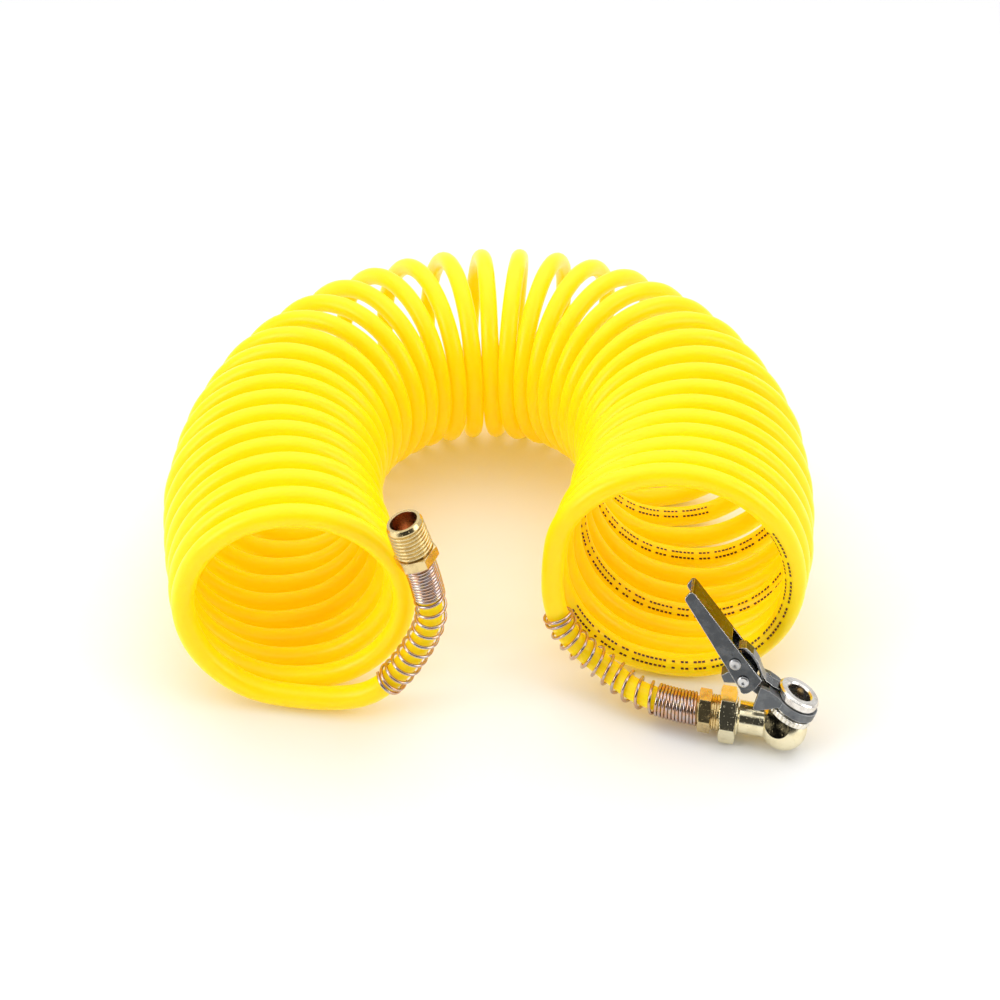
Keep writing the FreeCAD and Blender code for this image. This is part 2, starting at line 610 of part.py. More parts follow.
# Clip bracket: a ring round the nose, two saddle plates on the neck and an arm to the pivot.
PIVOT = (-14.8, 17.2)
LINK = (-18.05, 23.3)
bracket = new_body("clip_bracket")
tilt = PLC(lean.multVec(V(0, 0, 8.2)), lean)
sk = circles(bracket, "bracket_ring_circle", "XY_Plane", [(0, 0, "Dims.ring_out")], tilt)
extrude(bracket, "bracket_ring", sk, 3.1)
sk = polygon(bracket, "bracket_saddle_outline", "XZ_Plane",
             [(-8.7, 16.6), (-10.7, 8.2), (-9.6, 7.5), (-5.2, 8.9), (-2.5, 9.9), (1.0, 10.6), (-2.5, 13.9),
              (-5.4, 15.6)])
extrude(bracket, "bracket_saddle", sk, 12.6, middle=True)
sk = polygon(bracket, "bracket_slot_outline", "XZ_Plane",
             [(-14.0, 20.0), (-14.0, 0.0), (-5.6, 0.0), (-5.6, 20.0)])
extrude(bracket, "bracket_slot", sk, 8.8, cut=True, middle=True)
sk = polygon(bracket, "bracket_arm_outline", "XZ_Plane",
             [(-22.6, 15.7), (-17.4, 19.6), (-13.4, 20.0), (-11.4, 17.8), (-9.6, 14.2), (-5.0, 12.4), (-5.0, 9.6),
              (-8.4, 9.9), (-12.2, 12.4), (-16.4, 13.9), (-21.4, 13.2)],
             PLC(V(0, 0, -1.2), ROT()))
extrude(bracket, "bracket_arm", sk, "Dims.arm_w", middle=True)
sk = circles(bracket, "bracket_bore_circle", "XY_Plane", [(0, 0, "Dims.ring_in")],
             PLC(lean.multVec(V(0, 0, 5.0)), lean))
extrude(bracket, "bracket_bore", sk, 6.6, cut=True, back=True)
for name, radius, low, depth in (
        ("nut_room", 8.1, 4.0, 3.4), ("collar_room", 6.75, 7.3, 0.95), ("rim_room", 7.7, 11.3, 5.0)):
    sk = circles(bracket, "bracket_" + name + "_circle", "XY_Plane", [(0, 0, radius)],
                 PLC(lean.multVec(V(0, 0, low)), lean))
    extrude(bracket, "bracket_" + name, sk, depth, cut=True, back=True)
sk = polygon(bracket, "bracket_strap_room_outline", "XZ_Plane",
             [(-9.2, 18.6), (-7.2, 14.6), (-2.2, 11.6), (2.0, 10.9), (2.0, 20.0), (-9.2, 20.0)])
extrude(bracket, "bracket_strap_room", sk, 5.8, cut=True, middle=True)
sk = circles(bracket, "bracket_pivot_circle", "XZ_Plane", [(PIVOT[0], PIVOT[1], "Dims.rivet_r")])
extrude(bracket, "bracket_pivot_hole", sk, 14.0, cut=True, middle=True)

# Thumb lever: a tapered channel, open towards the hose.
lever = new_body("thumb_lever")
sk = polygon(lever, "lever_outline", "XZ_Plane",
             [(-15.7, 13.8), (-15.3, 12.7), (-14.2, 12.3), (-12.9, 12.8), (-10.4, 15.1), (-8.5, 18.5),
              (-33.6, 47.2), (-34.5, 47.8), (-35.6, 47.4), (-36.9, 45.3), (-36.9, 44.5)])
extrude(lever, "lever_block", sk, "Dims.lever_w", middle=True)
sk = polygon(lever, "lever_channel_outline", "XZ_Plane",
             [(-6.0, 14.2), (-38.1, 50.8), (-60.0, 40.0), (-30.0, 0.0)])
extrude(lever, "lever_channel", sk, "Dims.lever_in", cut=True, middle=True)
sk = polygon(lever, "lever_window_outline", "XZ_Plane",
             [(-19.0, 31.9), (-20.8, 30.4), (-8.0, 12.0), (-2.0, 18.0)])
extrude(lever, "lever_window", sk, "Dims.lever_in", cut=True, middle=True)
sk = circles(lever, "lever_pivot_circle", "XZ_Plane", [(PIVOT[0], PIVOT[1], "Dims.run_r")])
extrude(lever, "lever_pivot_holes", sk, 14.0, cut=True, middle=True)
sk = circles(lever, "lever_link_circle", "XZ_Plane", [(LINK[0], LINK[1], "Dims.rivet_r")])
extrude(lever, "lever_link_holes", sk, 14.0, cut=True, middle=True)

# Jaw strap: an eye on the link rivet, a bowed strip and a tip that comes through the nose's gate.
strap = new_body("jaw_strap")
lean_cos = math.cos(math.radians(dim("nose_lean")))
lean_sin = math.sin(math.radians(dim("nose_lean")))


def on_nose(s, t):
    """A point given across and along the nose's axis, in the chuck's own plane."""
    return V(s * lean_cos + t * lean_sin, -s * lean_sin + t * lean_cos, 0)


STRIP = [V(-17.8, 25.6, 0), V(-16.9, 27.6, 0), V(-14.9, 28.0, 0), V(-12.3, 26.0, 0), V(-10.2, 23.0, 0),
         V(-8.9, 19.6, 0), V(-7.4, 17.0, 0), on_nose(-9.6, 12.65), on_nose(-3.95, 12.65)]
left = []
right = []
for i, p in enumerate(STRIP):
    before = STRIP[max(i - 1, 0)]
    after = STRIP[min(i + 1, len(STRIP) - 1)]
    along = (after - before).normalize()
    side = V(-along.y, along.x, 0) * (dim("strap_t") / 2.0)
    left.append(p + side)
    right.append(p - side)
outline = [(round(p.x, 4), round(p.y, 4)) for p in left + right[::-1]]
sk = polygon(strap, "strap_outline", "XZ_Plane", outline)
extrude(strap, "strap_strip", sk, "Dims.strap_w", middle=True)
sk = circles(strap, "strap_eye_circle", "XZ_Plane", [(LINK[0], LINK[1], 2.5)])
extrude(strap, "strap_eye", sk, "Dims.strap_w", middle=True)
sk = circles(strap, "strap_hole_circle", "XZ_Plane", [(LINK[0], LINK[1], "Dims.run_r")])
extrude(strap, "strap_hole", sk, 14.0, cut=True, middle=True)

# Two rivets with domed, dimpled heads. The pivot rivet is pressed in the bracket, the link rivet in the lever.
for label in ("pivot_rivet", "link_rivet"):
    rivet = new_body(label)
    shank = "Dims.rivet_r"
    sk = polygon(rivet, label + "_outline", "XZ_Plane",
                 [(0, -5.7), (0.9, -6.0), (1.5, -6.1), (2.0, -5.8), (2.0, -5.3), (shank, -5.3), (shank, 5.3),
                  (2.0, 5.3), (2.0, 5.8), (1.5, 6.1), (0.9, 6.0), (0, 5.7)])
    turn(rivet, label + "_turned", sk)

# The lever's return spring, a torsion spring round the pivot rivet beside the bracket's arm.
free_shape("lever_spring", coil_spring(2.35, 0.32, 0.72, 2.0, 1.85, lead=4.0, tail=4.0))

# Every piece goes to its own place.
doc.recompute()
side_on = ROT(V(1, 0, 0), 90.0)
places = {
    "inlet_fitting": inlet_place, "inlet_ferrule": inlet_place,
    "outlet_fitting": chuck_place, "outlet_ferrule": chuck_place, "chuck_body": chuck_place,
    "clip_bracket": chuck_place, "thumb_lever": chuck_place, "jaw_strap": chuck_place,
    "knurled_nut": nose_place, "valve_seat": nose_place, "nose_ring": nose_place, "valve_gasket": nose_place,
    "valve_plunger": nose_place, "plunger_seal": nose_place, "plunger_spring": nose_place,
    "pivot_rivet": chuck_place * PLC(V(PIVOT[0], 0, PIVOT[1]), side_on),
    "link_rivet": chuck_place * PLC(V(LINK[0], 0, LINK[1]), side_on),
    "lever_spring": chuck_place * PLC(V(PIVOT[0], 0, PIVOT[1]), side_on),
}
for label, place in places.items():
    doc.getObject(label).Placement = place
doc.recompute()

for obj in doc.Objects:
    bad = [s for s in obj.State if s in ("Invalid", "Error")]
    assert not bad, (obj.Name, bad)
NODES = [
    "hose_coil", "hose_tail_inlet", "hose_tail_chuck", "spring_guard_inlet", "spring_guard_chuck",
    "inlet_fitting", "inlet_ferrule", "outlet_fitting", "outlet_ferrule", "chuck_body", "knurled_nut",
    "valve_seat", "nose_ring", "valve_gasket", "valve_plunger", "plunger_seal", "plunger_spring", "clip_bracket",
    "thumb_lever", "jaw_strap", "pivot_rivet", "link_rivet", "lever_spring",
]
os.makedirs("parts", exist_ok=True)
whole = FreeCAD.BoundBox()
for label in NODES:
    obj = doc.getObject(label)
    assert obj.Label == label, label
    shape = obj.Shape
    assert not shape.isNull() and shape.isValid(), label
    box = shape.BoundBox
    whole.add(box)
    print("%-20s %9.1f mm3  solids %d  x %7.2f %7.2f  y %7.2f %7.2f  z %6.2f %6.2f" % (
        label, shape.Volume, len(shape.Solids), box.XMin, box.XMax, box.YMin, box.YMax, box.ZMin, box.ZMax))
    shape.exportStep("parts/%s.step" % label)
print("whole", whole)
print("pivot", chuck_place.multVec(V(PIVOT[0], 0, PIVOT[1])), "link", chuck_place.multVec(V(LINK[0], 0, LINK[1])))
print("side axis", chuck_place.Rotation.multVec(V(0, -1, 0)), "nose axis", nose_place.Rotation.multVec(V(0, 0, 1)))
print("ball", ball_centre, "inlet base", inlet_place.Base, "inlet axis", inlet_axis)
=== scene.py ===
import math

import bmesh
import bpy
from mathutils import Matrix, Vector


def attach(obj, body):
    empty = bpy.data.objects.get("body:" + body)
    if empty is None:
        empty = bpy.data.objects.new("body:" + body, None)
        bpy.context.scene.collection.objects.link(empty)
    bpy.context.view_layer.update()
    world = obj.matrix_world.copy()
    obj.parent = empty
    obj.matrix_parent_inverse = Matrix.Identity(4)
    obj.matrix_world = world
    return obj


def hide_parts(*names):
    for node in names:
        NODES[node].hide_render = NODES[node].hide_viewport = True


# A recoil air hose laid in a horseshoe, with a pipe fitting at one end and a tyre chuck at the other.
# Metres, +Z up, the hose lies on z = 0.
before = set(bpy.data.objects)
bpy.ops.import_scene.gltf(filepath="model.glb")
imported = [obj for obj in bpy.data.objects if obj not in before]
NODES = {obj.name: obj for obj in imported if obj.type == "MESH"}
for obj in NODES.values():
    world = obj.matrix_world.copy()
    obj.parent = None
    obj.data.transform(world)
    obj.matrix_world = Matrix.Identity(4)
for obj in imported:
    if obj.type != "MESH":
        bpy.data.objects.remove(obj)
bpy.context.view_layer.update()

HOSE_OD = 0.0082
COIL_OD = 0.092

# the coil's axis in plan, from the chuck's end: where it starts, its heading there, and its arcs as
# radius and degrees turned
PATH_START = (0.06915, -0.09103)
PATH_HEADING = 69.06
PATH_ARCS = (
    (0.3064, 8.98), (0.1390, 21.44), (0.1037, 28.73), (0.0774, 47.36),
    (0.0818, 58.84), (0.1128, 34.53), (0.1678, 17.76), (0.5896, 3.98),
)

# the turns, by distance along the axis from the inlet's end: pitch, where the first and the last turn
# start and end, and how much wider the coil gets from the inlet's end to the chuck's
PITCHES = (
    (-0.010, 0.0101), (0.060, 0.0106), (0.095, 0.0114), (0.122, 0.0133), (0.152, 0.0155), (0.345, 0.0153),
    (0.375, 0.0141), (0.400, 0.0124), (0.430, 0.0099), (0.470, 0.0083),
)
COIL_FIRST = 0.0015
COIL_LAST = 0.4625
FIRST_ANGLE = math.radians(-72.0)
LAST_ANGLE = math.radians(155.0)
POINTS_PER_TURN = 16
SIZE_MIDDLE = 0.99
RELAX = 0.0606
RELAX_MIDDLE = 0.2346
RELAX_RUN = 0.22
RELAX_MOST = 1.1

# the end turns lean round the vertical by these degrees, and the inlet's end turns are wider than high
INLET_TWIST = -22.0
CHUCK_TWIST = 13.0
TWIST_RUN = 0.085
TWIST_FADE = 1.5
INLET_FLARE = 0.055
FLARE_RUN = 0.035

# the uncoiled ends of the hose, from each fitting or to it
INLET_ROUTE = [
    (-0.021724, -0.1105, 0.071739), (-0.0162, -0.1105, 0.0530), (-0.0200, -0.1103, 0.0382),
    (-0.0322, -0.1096, 0.0176), (-0.0468, -0.1078, 0.0070),
]
CHUCK_ROUTE = [
    (0.0256, -0.0895, 0.0520), (0.0258, -0.0915, 0.0370), (0.0315, -0.0935, 0.0230),
    (0.0450, -0.0965, 0.0122), (0.0594, -0.1097, 0.0090), (0.0779, -0.1140, 0.0090),
]

HOSE_STEPS = 8

# where the two fittings stand: the inlet's axis, and the chuck's ball with the way its near flat faces
INLET_AXIS = Vector((-0.28276, 0.0, 0.95919))
CHUCK_AXIS = (Vector(CHUCK_ROUTE[-1]) - Vector(CHUCK_ROUTE[-2])).normalized()
BALL_MIDDLE = Vector(CHUCK_ROUTE[-1]) + CHUCK_AXIS * 0.0296
CHUCK_TURN = Matrix.Rotation(math.atan2(CHUCK_AXIS.y, CHUCK_AXIS.x), 3, "Z") @ Matrix.Rotation(
    math.radians(-10.0), 3, "X")
BALL_FLAT_WAY = (CHUCK_TURN @ Vector((-0.28, -0.83, 0.48))).normalized()


# ---------------------------------------------------------------- camera

def make_camera():
    lens = bpy.data.cameras.new("camera")
    lens.sensor_width = 36.0
    lens.lens = 46.65
    lens.shift_y = -0.3769
    camera = bpy.data.objects.new("camera", lens)
    camera.location = (0.00654, -0.4771, 0.3688)
    camera.rotation_euler = (math.radians(69.595), 0.0, 0.0)
    bpy.context.scene.collection.objects.link(camera)
    bpy.context.scene.camera = camera


make_camera()


# ---------------------------------------------------------------- hose

def level(angle):
    """A level unit vector at an angle from +X, in degrees."""
    return Vector((math.cos(math.radians(angle)), math.sin(math.radians(angle)), 0.0))


def path_rows():
    """The coil's axis in plan as arcs from the chuck's end: length, centre, radius and starting angle."""
    rows = []
    here = Vector((*PATH_START, 0.0))
    facing = PATH_HEADING - 90.0
    for radius, turned in PATH_ARCS:
        middle = here - level(facing) * radius
        rows.append((math.radians(turned) * radius, middle, radius, facing))
        facing += turned
        here = middle + level(facing) * radius
    return rows


PATH = path_rows()
PATH_LENGTH = sum(row[0] for row in PATH)


def coil_axis(s):
    """The coil's axis at a distance from the inlet's end: a point and the way outwards in a turn's plane.

    Near both ends the turns lean out of square to the axis, so that the open ends face the same way.
    """
    left = PATH_LENGTH - s
    row = 0
    while left > PATH[row][0] and row < len(PATH) - 1:
        left -= PATH[row][0]
        row += 1
    _, middle, radius, facing = PATH[row]
    facing += math.degrees(left / radius)
    here = middle + level(facing) * radius
    facing += INLET_TWIST * max(0.0, 1.0 - s / TWIST_RUN) ** TWIST_FADE
    facing += CHUCK_TWIST * max(0.0, 1.0 - (PATH_LENGTH - s) / TWIST_RUN) ** TWIST_FADE
    return here, level(facing)


def turn_pitch(s):
    """How far the coil goes on in one turn, at a distance from the inlet's end."""
    for (s0, p0), (s1, p1) in zip(PITCHES, PITCHES[1:]):
        if s < s1:
            return p0 + (p1 - p0) * max(0.0, s - s0) / (s1 - s0)
    return PITCHES[-1][1]


def count_turns():
    """The turns that the coil's pitches give, made up to end at the right angle."""
    s = COIL_FIRST
    turns = 0.0
    while s < COIL_LAST:
        s += turn_pitch(s) / POINTS_PER_TURN
        turns += 1.0 / POINTS_PER_TURN
    extra = (LAST_ANGLE - FIRST_ANGLE) / math.tau
    return round(turns - extra) + extra, turns


def coil_points():
    """The hose's line through the coil: turns that touch on the inside of the bow and fan out outside.

    A small wander keeps the turns from being all alike, and none goes below the floor.
    """
    points = []
    s = COIL_FIRST
    total, natural = count_turns()
    spread = 1.0 / math.cos(math.pi / POINTS_PER_TURN)
    count = round(total * POINTS_PER_TURN)
    for k in range(count + 1):
        turns = total * k / count
        angle = FIRST_ANGLE + math.tau * turns
        size = SIZE_MIDDLE + RELAX * max(-RELAX_MOST, min(RELAX_MOST, (s - RELAX_MIDDLE) / RELAX_RUN))
        wander = 0.0003 * math.sin(2.3 * turns) + 0.0002 * math.sin(5.1 * turns + 1.0)
        radius = (COIL_OD * 0.5 * size - HOSE_OD * 0.5) * spread
        centre, out = coil_axis(s)
        flare = 1.0 + INLET_FLARE * max(0.0, 1.0 - s / FLARE_RUN)
        flat = out * ((radius * flare + wander) * math.cos(angle))
        height = COIL_OD * 0.5 * size + radius * math.sin(angle)
        points.append(centre + flat + Vector((0.0, 0.0, max(height, HOSE_OD * 0.5))))
        s += turn_pitch(s) * natural / count
    return points


def new_spline(name, points, radius, sides, steps):
    """A round tube along one open NURBS spline."""
    curve = bpy.data.curves.new(name, "CURVE")
    curve.dimensions = "3D"
    spline = curve.splines.new("NURBS")
    spline.points.add(len(points) - 1)
    for knot, p in zip(spline.points, points):
        knot.co = (p[0], p[1], p[2], 1.0)
        knot.radius = radius
    spline.order_u = 3
    spline.use_endpoint_u = True
    curve.resolution_u = steps
    spline.resolution_u = steps
    curve.bevel_depth = 1.0
    curve.bevel_resolution = sides
    curve.use_fill_caps = True
    obj = bpy.data.objects.new(name, curve)
    bpy.context.scene.collection.objects.link(obj)
    return obj


def line_of(obj):
    """The points that a spline's own line runs through, read from the spline with its bevel off."""
    bare = obj.copy()
    bare.data = obj.data.copy()
    bare.data.bevel_depth = 0.0
    bpy.context.scene.collection.objects.link(bare)
    bpy.context.view_layer.update()
    mesh = bpy.data.meshes.new_from_object(bare.evaluated_get(bpy.context.evaluated_depsgraph_get()))
    points = [v.co.copy() for v in mesh.vertices]
    bpy.data.meshes.remove(mesh)
    bpy.data.curves.remove(bare.data)
    return points


hose = new_spline("hose", INLET_ROUTE + coil_points() + CHUCK_ROUTE, HOSE_OD * 0.5, 6, HOSE_STEPS)
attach(hose, "hose")
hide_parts("hose_coil", "hose_tail_inlet", "hose_tail_chuck")
hose_line = line_of(hose)
hose_length = sum((b - a).length for a, b in zip(hose_line, hose_line[1:]))
print("hose length", round(hose_length, 3), "turns", count_turns())


# ---------------------------------------------------------------- spring guards

def frames_along(line):
    """Each point of a line with its distance, its direction and two cross directions that don't twist."""
    rows = []
    across = None
    gone = 0.0
    for i, p in enumerate(line[:-1]):
        ahead = (line[i + 1] - p).normalized()
        if across is None:
            across = ahead.cross(Vector((0.0, 1.0, 0.0))).normalized()
        across = (across - ahead * across.dot(ahead)).normalized()
        rows.append((gone, p, ahead, across, ahead.cross(across)))
        gone += (line[i + 1] - p).length
    return rows


def frame_at(rows, s):
    """The frame at a distance along a line, between its points."""
    for a, b in zip(rows, rows[1:]):
        if s < b[0]:
            share = (s - a[0]) / (b[0] - a[0])
            return [x.lerp(y, share) for x, y in zip(a[1:], b[1:])]
    return list(rows[-1][1:])


GUARD_WIRE_R = 0.0006
GUARD_MEAN_R = 0.0052
CLOSE_PITCH = 0.00122
END_PITCH = 0.0020
CLOSE_TURNS = 12.0
END_TURNS = 1.5
POINTS_PER_WIND = 12
GUARD_LINE_POINTS = 140


def spring_guard(name, line, open_turns, open_pitch):
    """A wire guard on the hose: close wound at the fitting, open along the bend, closing at its free end."""
    rows = frames_along(line)
    total = CLOSE_TURNS + open_turns + END_TURNS
    points = []
    for k in range(int(total * POINTS_PER_WIND) + 1):
        turns = k / POINTS_PER_WIND
        s = GUARD_WIRE_R + CLOSE_PITCH * min(turns, CLOSE_TURNS)
        s += open_pitch * min(max(turns - CLOSE_TURNS, 0.0), open_turns)
        s += END_PITCH * max(turns - CLOSE_TURNS - open_turns, 0.0)
        centre, _, e1, e2 = frame_at(rows, s)
        angle = math.tau * turns
        reach = GUARD_MEAN_R / math.cos(math.pi / POINTS_PER_WIND)
        points.append(centre + e1 * (reach * math.cos(angle)) + e2 * (reach * math.sin(angle)))
    guard = new_spline(name, points, GUARD_WIRE_R, 3, 3)
    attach(guard, "hose")
    return guard


guard_inlet = spring_guard("guard_inlet", hose_line[:GUARD_LINE_POINTS], open_turns=9.0, open_pitch=0.0045)
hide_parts("spring_guard_inlet")
guard_chuck = spring_guard("guard_chuck", hose_line[:-GUARD_LINE_POINTS:-1], open_turns=10.0, open_pitch=0.0047)
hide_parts("spring_guard_chuck")


# ---------------------------------------------------------------- printed dashes

# each row: how many turns it starts before the coil's end, and how far it is tilted towards the middle
PRINT_ROWS = ((0.82, 40.0), (3.94, 48.0), (7.02, 52.0), (9.15, 54.0))
WORDS = (7, 1, 4, 2, 8, 1, 2, 3, 6, 3, 3, 6, 3, 6, 4, 7)
DASH_LONG = 0.00125
DASH_WIDE = 0.00075
DASH_STEP = 0.0018
DASH_RISE = 0.00115
INK_LIFT = 0.00004


def print_frame(line, at):
    """Where a turn's middle lies, seen from one point of the hose: the point, ahead, inwards and sideways."""
    whole = int(at)
    share = at - whole
    here = line[whole].lerp(line[whole + 1], share)
    ahead = (line[whole + HOSE_STEPS] - line[whole - HOSE_STEPS]).normalized()
    inwards = line[whole + 2 * HOSE_STEPS] + line[whole - 2 * HOSE_STEPS] - line[whole] * 2.0
    inwards = (inwards - ahead * inwards.dot(ahead)).normalized()
    return here, ahead, inwards, ahead.cross(inwards)


def print_row(work, line, at, tilt):
    """One row of dashes in two ranks, in groups like words, along the hose from one point of its line."""
    reach = HOSE_OD * 0.5 + INK_LIFT
    per_metre = 1.0 / (line[int(at) + 1] - line[int(at)]).length
    for count in WORDS:
        for _ in range(count):
            for rank in (-DASH_RISE, DASH_RISE):
                rows = []
                for along in (0.0, DASH_LONG * 0.5, DASH_LONG):
                    here, ahead, inwards, side = print_frame(line, at + along * per_metre)
                    for edge in (-DASH_WIDE * 0.5, DASH_WIDE * 0.5):
                        turned = tilt + (rank + edge) / reach
                        way = side * math.cos(turned) + inwards * math.sin(turned)
                        rows.append(work.verts.new(here + way * reach))
                work.faces.new((rows[0], rows[2], rows[3], rows[1]))
                work.faces.new((rows[2], rows[4], rows[5], rows[3]))
            at += DASH_STEP * per_metre
        at += DASH_STEP * per_metre


def print_marks(line, rows):
    """All the rows as one piece."""
    work = bmesh.new()
    for turns_back, tilt in rows:
        at = len(line) - 1 - len(CHUCK_ROUTE) * HOSE_STEPS - turns_back * POINTS_PER_TURN * HOSE_STEPS
        print_row(work, line, at, math.radians(tilt))
    mesh = bpy.data.meshes.new("print_marks")
    work.to_mesh(mesh)
    work.free()
    marks = bpy.data.objects.new("print_marks", mesh)
    bpy.context.scene.collection.objects.link(marks)
    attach(marks, "hose")
    return marks


marks = print_marks(hose_line, PRINT_ROWS)


# ---------------------------------------------------------------- finishes

class Term:
    """A shader socket that takes part in sums."""

    def __init__(self, finish, socket):
        self.finish = finish
        self.socket = socket

    def _sum(self, operation, a, b):
        return self.finish.add("ShaderNodeMath", {"operation": operation}, [a, b])

    def __add__(self, other):
        return self._sum("ADD", self, other)

    def __radd__(self, other):
        return self._sum("ADD", other, self)

    def __sub__(self, other):
        return self._sum("SUBTRACT", self, other)

    def __rsub__(self, other):
        return self._sum("SUBTRACT", other, self)

    def __mul__(self, other):
        return self._sum("MULTIPLY", self, other)

    def __rmul__(self, other):
        return self._sum("MULTIPLY", other, self)

    def __pow__(self, other):
        return self._sum("POWER", self, other)


class Finish:
    """One material: its shader, and one way to make every node behind it."""

    def __init__(self, name, **constants):
        self.material = bpy.data.materials.new(name)
        self.material.use_nodes = True
        self.tree = self.material.node_tree
        self.shader = self.tree.nodes["Principled BSDF"]
        for key, value in constants.items():
            self.shader.inputs[key.replace("_", " ")].default_value = value
        self.place = self.add("ShaderNodeTexCoord", {}, {}, "Object")

    def add(self, kind, settings, inputs, output=0):
        """A node of that type. Its settings come first, then the values or links of its sockets."""
        node = self.tree.nodes.new(kind)
        for key, value in settings.items():
            if key == "stops":
                while len(node.color_ramp.elements) < len(value):
                    node.color_ramp.elements.new(0.5)
                for stop, (at, colour) in zip(node.color_ramp.elements, value):
                    stop.position = at
                    stop.color = (*colour, 1.0)
            else:
                setattr(node, key, value)
        pairs = inputs.items() if isinstance(inputs, dict) else enumerate(inputs)
        for key, value in pairs:
            if isinstance(value, Term):
                self.tree.links.new(value.socket, node.inputs[key])
            else:
                node.inputs[key].default_value = value
        return Term(self, node.outputs[output])

    def noise(self, scale, detail=3.0, rough=0.5, vector=None):
        """Soft noise from 0 to 1; scale is in lumps per metre."""
        return self.add("ShaderNodeTexNoise", {}, {"Vector": vector or self.place, "Scale": scale,
                                                   "Detail": detail, "Roughness": rough})

    def step(self, value, low, high):
        """0 below low, 1 above high, smooth between them."""
        return self.add("ShaderNodeMapRange", {"interpolation_type": "SMOOTHSTEP"},
                        {"Value": value, "From Min": low, "From Max": high})

    def mix(self, share, a, b):
        """Colour a where share is 0 and b where it is 1."""
        return self.add("ShaderNodeMix", {"data_type": "RGBA"}, {"Factor": share, 6: a, 7: b}, 2)

    def ramp(self, value, *stops):
        return self.add("ShaderNodeValToRGB", {"stops": stops}, {"Fac": value})

    def bump(self, height, distance, strength=1.0, edge=None):
        """A fine relief, on top of edges rounded by the given radius."""
        inputs = {"Height": height, "Distance": distance, "Strength": strength}
        if edge:
            inputs["Normal"] = self.add("ShaderNodeBevel", {"samples": 6}, {"Radius": edge})
        return self.add("ShaderNodeBump", {}, inputs)

    def from_line(self, point, way):
        """How far a surface point is along a line and away from it, in metres."""
        off = self.add("ShaderNodeVectorMath", {"operation": "SUBTRACT"}, [self.place, point])
        along = self.add("ShaderNodeVectorMath", {"operation": "DOT_PRODUCT"}, [off, way], "Value")
        shade = self.add("ShaderNodeVectorMath", {"operation": "SCALE"}, {"Vector": way, "Scale": along})
        away = self.add("ShaderNodeVectorMath", {"operation": "SUBTRACT"}, [off, shade])
        return along, self.add("ShaderNodeVectorMath", {"operation": "LENGTH"}, [away], "Value")

    def edges(self, radius):
        """1 on the edges of a piece, within a radius of them, and 0 on its faces."""
        rounded = self.add("ShaderNodeBevel", {"samples": 6}, {"Radius": radius})
        flat = self.add("ShaderNodeNewGeometry", {}, {}, "Normal")
        same = self.add("ShaderNodeVectorMath", {"operation": "DOT_PRODUCT"}, [rounded, flat], "Value")
        return self.step(1.0 - same, 0.004, 0.06)

    def drive(self, **inputs):
        """What varies over the surface, by the shader's own socket names."""
        for key, value in inputs.items():
            self.tree.links.new(value.socket, self.shader.inputs[key.replace("_", " ")])

    def on(self, *objects):
        """Give the finish to whole pieces."""
        for obj in objects:
            slots = obj.data.materials
            if len(slots) == 0:
                slots.append(self.material)
            for i in range(len(slots)):
                slots[i] = self.material


def colour(r, g, b):
    return (r, g, b, 1.0)


def hose_nylon():
    """Bright yellow nylon, a little translucent, with faint drawing streaks and a painted yellow glow."""
    # painted glow: a faint yellow emission lifts the hose's shaded insides and the floor beside it
    f = Finish("hose_nylon", IOR=1.5, Specular_IOR_Level=0.25,
               Subsurface_Weight=0.75, Subsurface_Radius=(1.0, 0.55, 0.03), Subsurface_Scale=0.006,
               Emission_Color=colour(1.0, 0.70, 0.0), Emission_Strength=0.18)
    cloud = f.noise(60.0, 2.0)
    speck = f.noise(1400.0, 2.0)
    f.drive(Base_Color=f.mix(cloud, colour(1.0, 0.70, 0.006), colour(1.0, 0.75, 0.010)),
            Roughness=0.24 + speck * 0.12,
            Normal=f.bump(speck, 0.00003, 0.5))
    return f


def plated(name, base, dark, rough, tarnish, bump=0.00002, edge_highlight=None, bore=None, flat=None):
    """Turned or plated metal: clean faces, a duller bloom in patches, fine tool marks and a few pits.

    The colour after the bump, when given, is a painted highlight along the edges. Bore is a line, a radius and
    the shade inside it. Flat is a line, a distance along it, a radius and the colour of a painted dark
    reflection on the round face that lies further out.
    """
    f = Finish(name, Metallic=1.0)
    shade = base
    # painted highlight: edges found from the bevel normal get a bright colour
    if edge_highlight:
        shade = f.mix(f.edges(0.0004), base, edge_highlight)
    if bore:
        point, way, radius, inside = bore
        shade = f.mix(f.step(f.from_line(point, way)[1], radius, radius - 0.0002), shade, inside)
    # painted reflection: the round flat face further out along the line is coloured near black
    if flat:
        point, way, reach, radius, face = flat
        along, away = f.from_line(point, way)
        painted_reflection_mask = f.step(along, reach - 0.0001, reach) * f.step(away, radius, radius - 0.0003)
        shade = f.mix(painted_reflection_mask, shade, face)
    bloom = f.step(f.noise(260.0, 4.0, 0.6), 0.42, 0.68)
    grain = f.noise(5200.0, 2.0)
    pits = f.step(f.noise(1500.0, 1.0), 0.68, 0.74)
    f.drive(Base_Color=f.mix(bloom * tarnish + pits * 0.25, shade, dark),
            Roughness=rough + bloom * 0.12 + grain * 0.05 + pits * 0.2,
            Normal=f.bump(grain - pits * 2.0, bump, 0.6, 0.00028))
    return f


def black_rubber():
    f = Finish("black_rubber", Metallic=0.0)
    dust = f.noise(900.0, 3.0)
    f.drive(Base_Color=f.mix(dust, colour(0.012, 0.012, 0.012), colour(0.04, 0.038, 0.036)),
            Roughness=0.55 + dust * 0.25, Normal=f.bump(dust, 0.00003))
    return f


def print_ink():
    """Dark brown printing ink, worn thin in patches."""
    f = Finish("print_ink")
    wear = f.noise(2500.0, 2.0)
    f.drive(Base_Color=f.mix(wear, colour(0.03, 0.007, 0.003), colour(0.13, 0.04, 0.007)),
            Roughness=0.4 + wear * 0.2)
    return f


